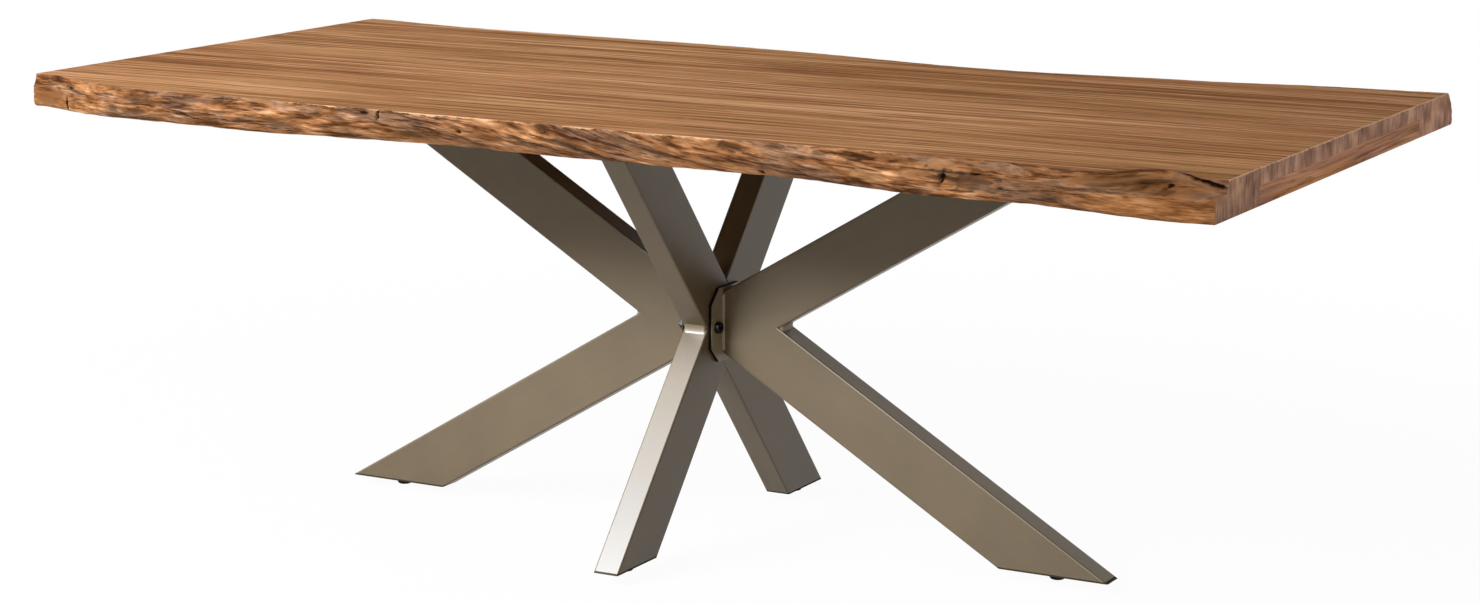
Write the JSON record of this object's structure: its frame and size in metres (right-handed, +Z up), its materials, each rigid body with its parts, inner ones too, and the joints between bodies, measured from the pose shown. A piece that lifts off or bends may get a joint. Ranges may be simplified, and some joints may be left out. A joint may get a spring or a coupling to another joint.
{
  "type": "dining table",
  "caption": "Dining table with a thick live-edge timber top on a bolted star base of brushed rectangular tube, standing on screw-in levelling glides.",
  "frame": {"origin": "on the floor under the centre of the table", "axes": "+X along the table, +Y towards its back, +Z up"},
  "size_m": [2.2, 1.1554, 0.77],
  "materials": {
    "sheesham": "oiled, with a natural live edge",
    "brushed_tube": "brushed along the tube, clear lacquered",
    "zinc_hardware": "zinc plated",
    "black_hardware": "black oxide",
    "glide_plastic": "moulded black"
  },
  "bodies": {
    "table": {"back_foot_cap": "brushed_tube", "back_live_edge_board": "sheesham", "back_live_edge_strip": "sheesham", "back_mounting_plate": "brushed_tube", "back_upper_leg": "brushed_tube", "bearer_screws": "zinc_hardware", "centre_bearer": "sheesham", "cross_frame_welds": "brushed_tube", "cross_long_leg": "brushed_tube", "foot_nuts": "zinc_hardware", "front_foot_cap": "brushed_tube", "front_live_edge_board": "sheesham", "front_live_edge_strip": "sheesham", "front_lower_leg": "brushed_tube", "front_mounting_plate": "brushed_tube", "hub_bolts": "black_hardware", "hub_nuts": "black_hardware", "hub_plate_welds": "brushed_tube", "hub_washers": "black_hardware", "left_bearer": "sheesham", "left_end_strip": "sheesham", "left_foot_cap": "brushed_tube", "left_hub_plate": "brushed_tube", "left_lower_leg": "brushed_tube", "left_mounting_plate": "brushed_tube", "left_upper_leg": "brushed_tube", "mounting_bolts": "zinc_hardware", "mounting_washers": "zinc_hardware", "right_bearer": "sheesham", "right_end_strip": "sheesham", "right_foot_cap": "brushed_tube", "right_hub_plate": "brushed_tube", "right_lower_leg": "brushed_tube", "right_mounting_plate": "brushed_tube", "right_upper_leg": "brushed_tube", "threaded_inserts": "zinc_hardware", "top_board_1": "sheesham", "top_board_2": "sheesham", "top_board_3": "sheesham", "top_board_4": "sheesham", "top_board_5": "sheesham", "vee_crotch_welds": "brushed_tube"},
    "left_glide": {"left_glide": "glide_plastic", "left_glide_stud": "zinc_hardware"},
    "right_glide": {"right_glide": "glide_plastic", "right_glide_stud": "zinc_hardware"},
    "front_glide": {"front_glide": "glide_plastic", "front_glide_stud": "zinc_hardware"},
    "back_glide": {"back_glide": "glide_plastic", "back_glide_stud": "zinc_hardware"}
  },
  "joints": [
    {"name": "left_glide_travel", "type": "slide", "parent": "table", "child": "left_glide", "axis": [0, 0, -1], "range_m": [0, 0.01]},
    {"name": "right_glide_travel", "type": "slide", "parent": "table", "child": "right_glide", "axis": [0, 0, -1], "range_m": [0, 0.01]},
    {"name": "front_glide_travel", "type": "slide", "parent": "table", "child": "front_glide", "axis": [0, 0, -1], "range_m": [0, 0.01]},
    {"name": "back_glide_travel", "type": "slide", "parent": "table", "child": "back_glide", "axis": [0, 0, -1], "range_m": [0, 0.01]}
  ]
}
